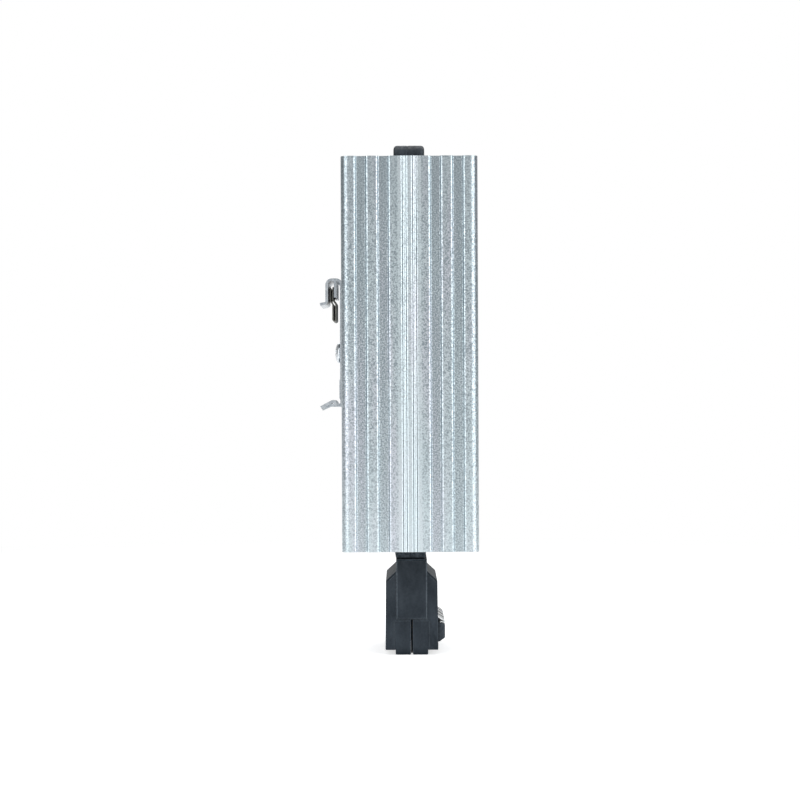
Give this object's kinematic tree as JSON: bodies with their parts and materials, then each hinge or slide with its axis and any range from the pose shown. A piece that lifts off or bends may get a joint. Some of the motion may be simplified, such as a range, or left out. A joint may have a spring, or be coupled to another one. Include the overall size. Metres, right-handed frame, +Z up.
{
  "type": "rail-mounted enclosure heater",
  "caption": "Finned aluminium enclosure heater with a sprung rail clip on its back, an end cap on top and a spring-clamp terminal housing below.",
  "frame": {"origin": "middle of the bounding box at its lowest face, the lower end of the terminal housing", "axes": "+Z up along the extruded profile, +Y to the rail behind the heater, +X across its width"},
  "size_m": [0.07, 0.0572, 0.1827],
  "materials": {
    "blasted_aluminium": "extruded, blasted to a fine sparkle and clear anodised",
    "black_nylon": "moulded black nylon with a fine satin grain",
    "nickel_spring": "bent spring strip, nickel plated",
    "contact_brass": "stamped strip, bare",
    "brown_lead": "heat-proof insulation on stranded wire",
    "blue_lead": "heat-proof insulation on stranded wire",
    "heating_ceramic": "pressed and fired, faces metallised",
    "natural_nylon": "moulded, uncoloured",
    "rolled_aluminium": "rolled sheet, bare",
    "amber_film": "wound heat-proof film",
    "plated_steel": "stamped and folded sheet, bright zinc plated",
    "spring_steel": "hardened strip, tempered brownish grey",
    "screw_steel": "cold headed, bright plated"
  },
  "bodies": {
    "root": {"heatsink_profile": "blasted_aluminium", "end_cap": "black_nylon", "terminal_carrier": "black_nylon", "front_shell": "black_nylon", "back_shell": "black_nylon", "clamp_spring_1": "nickel_spring", "clamp_spring_2": "nickel_spring", "clamp_spring_3": "nickel_spring", "clamp_spring_4": "nickel_spring", "live_contact": "contact_brass", "neutral_contact": "contact_brass", "earth_contact": "contact_brass", "earth_strip": "contact_brass", "live_lead": "brown_lead", "neutral_lead": "blue_lead", "heating_stone_1": "heating_ceramic", "heating_stone_2": "heating_ceramic", "heating_stone_3": "heating_ceramic", "heating_stone_4": "heating_ceramic", "stone_locating_frame": "natural_nylon", "electrode_front": "rolled_aluminium", "electrode_back": "rolled_aluminium", "insulating_sleeve": "amber_film", "rail_clip": "plated_steel", "rail_clip_spring": "spring_steel", "rail_clip_screw": "screw_steel"}
  },
  "joints": []
}
